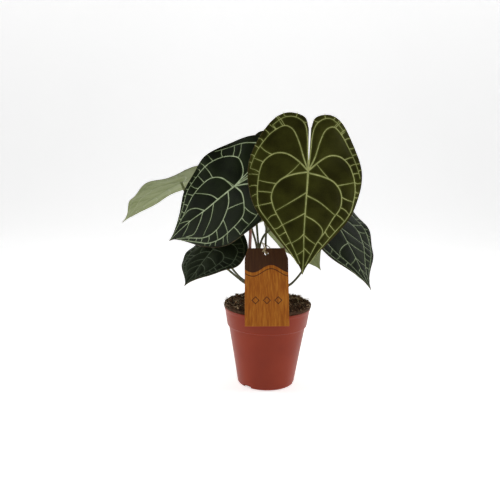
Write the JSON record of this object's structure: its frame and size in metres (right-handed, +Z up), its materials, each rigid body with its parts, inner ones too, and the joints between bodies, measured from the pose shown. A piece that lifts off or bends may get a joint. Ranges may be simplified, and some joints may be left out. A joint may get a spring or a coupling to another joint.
{
  "type": "potted anthurium clarinervium",
  "caption": "Potted aroid with heart-shaped velvety leaves and pale raised veins on slim petioles, in a round tapered nursery pot with a hanging tag.",
  "frame": {"origin": "centre of the pot's flat underside", "axes": "+Z up, -Y towards the tag and the viewer, +X to the viewer's right"},
  "size_m": [0.3917, 0.271, 0.3723],
  "materials": {
    "pot_plastic": "satin moulded terracotta-coloured plastic",
    "growing_mix": "rough damp peat and coir",
    "crown_bark": "matt stem skin",
    "blade_velvet": "velvety leaf surface with pale veins",
    "petiole_skin": "smooth leaf stalk skin",
    "shoot_skin": "smooth young shoot",
    "tag_card": "uncoated wood-grain card",
    "twine_fibre": "natural twine"
  },
  "bodies": {
    "root": {"pot": "pot_plastic", "growing_mix": "growing_mix", "crown": "crown_bark", "leaf_a_blade": "blade_velvet", "leaf_a_petiole": "petiole_skin", "leaf_b_blade": "blade_velvet", "leaf_b_petiole": "petiole_skin", "leaf_c_blade": "blade_velvet", "leaf_c_petiole": "petiole_skin", "leaf_d_blade": "blade_velvet", "leaf_d_petiole": "petiole_skin", "leaf_e_blade": "blade_velvet", "leaf_e_petiole": "petiole_skin", "leaf_f_blade": "blade_velvet", "leaf_f_petiole": "petiole_skin", "leaf_g_blade": "blade_velvet", "leaf_g_petiole": "petiole_skin", "leaf_h_blade": "blade_velvet", "leaf_h_petiole": "petiole_skin", "young_shoot": "shoot_skin", "tag": "tag_card", "twine": "twine_fibre"}
  },
  "joints": []
}
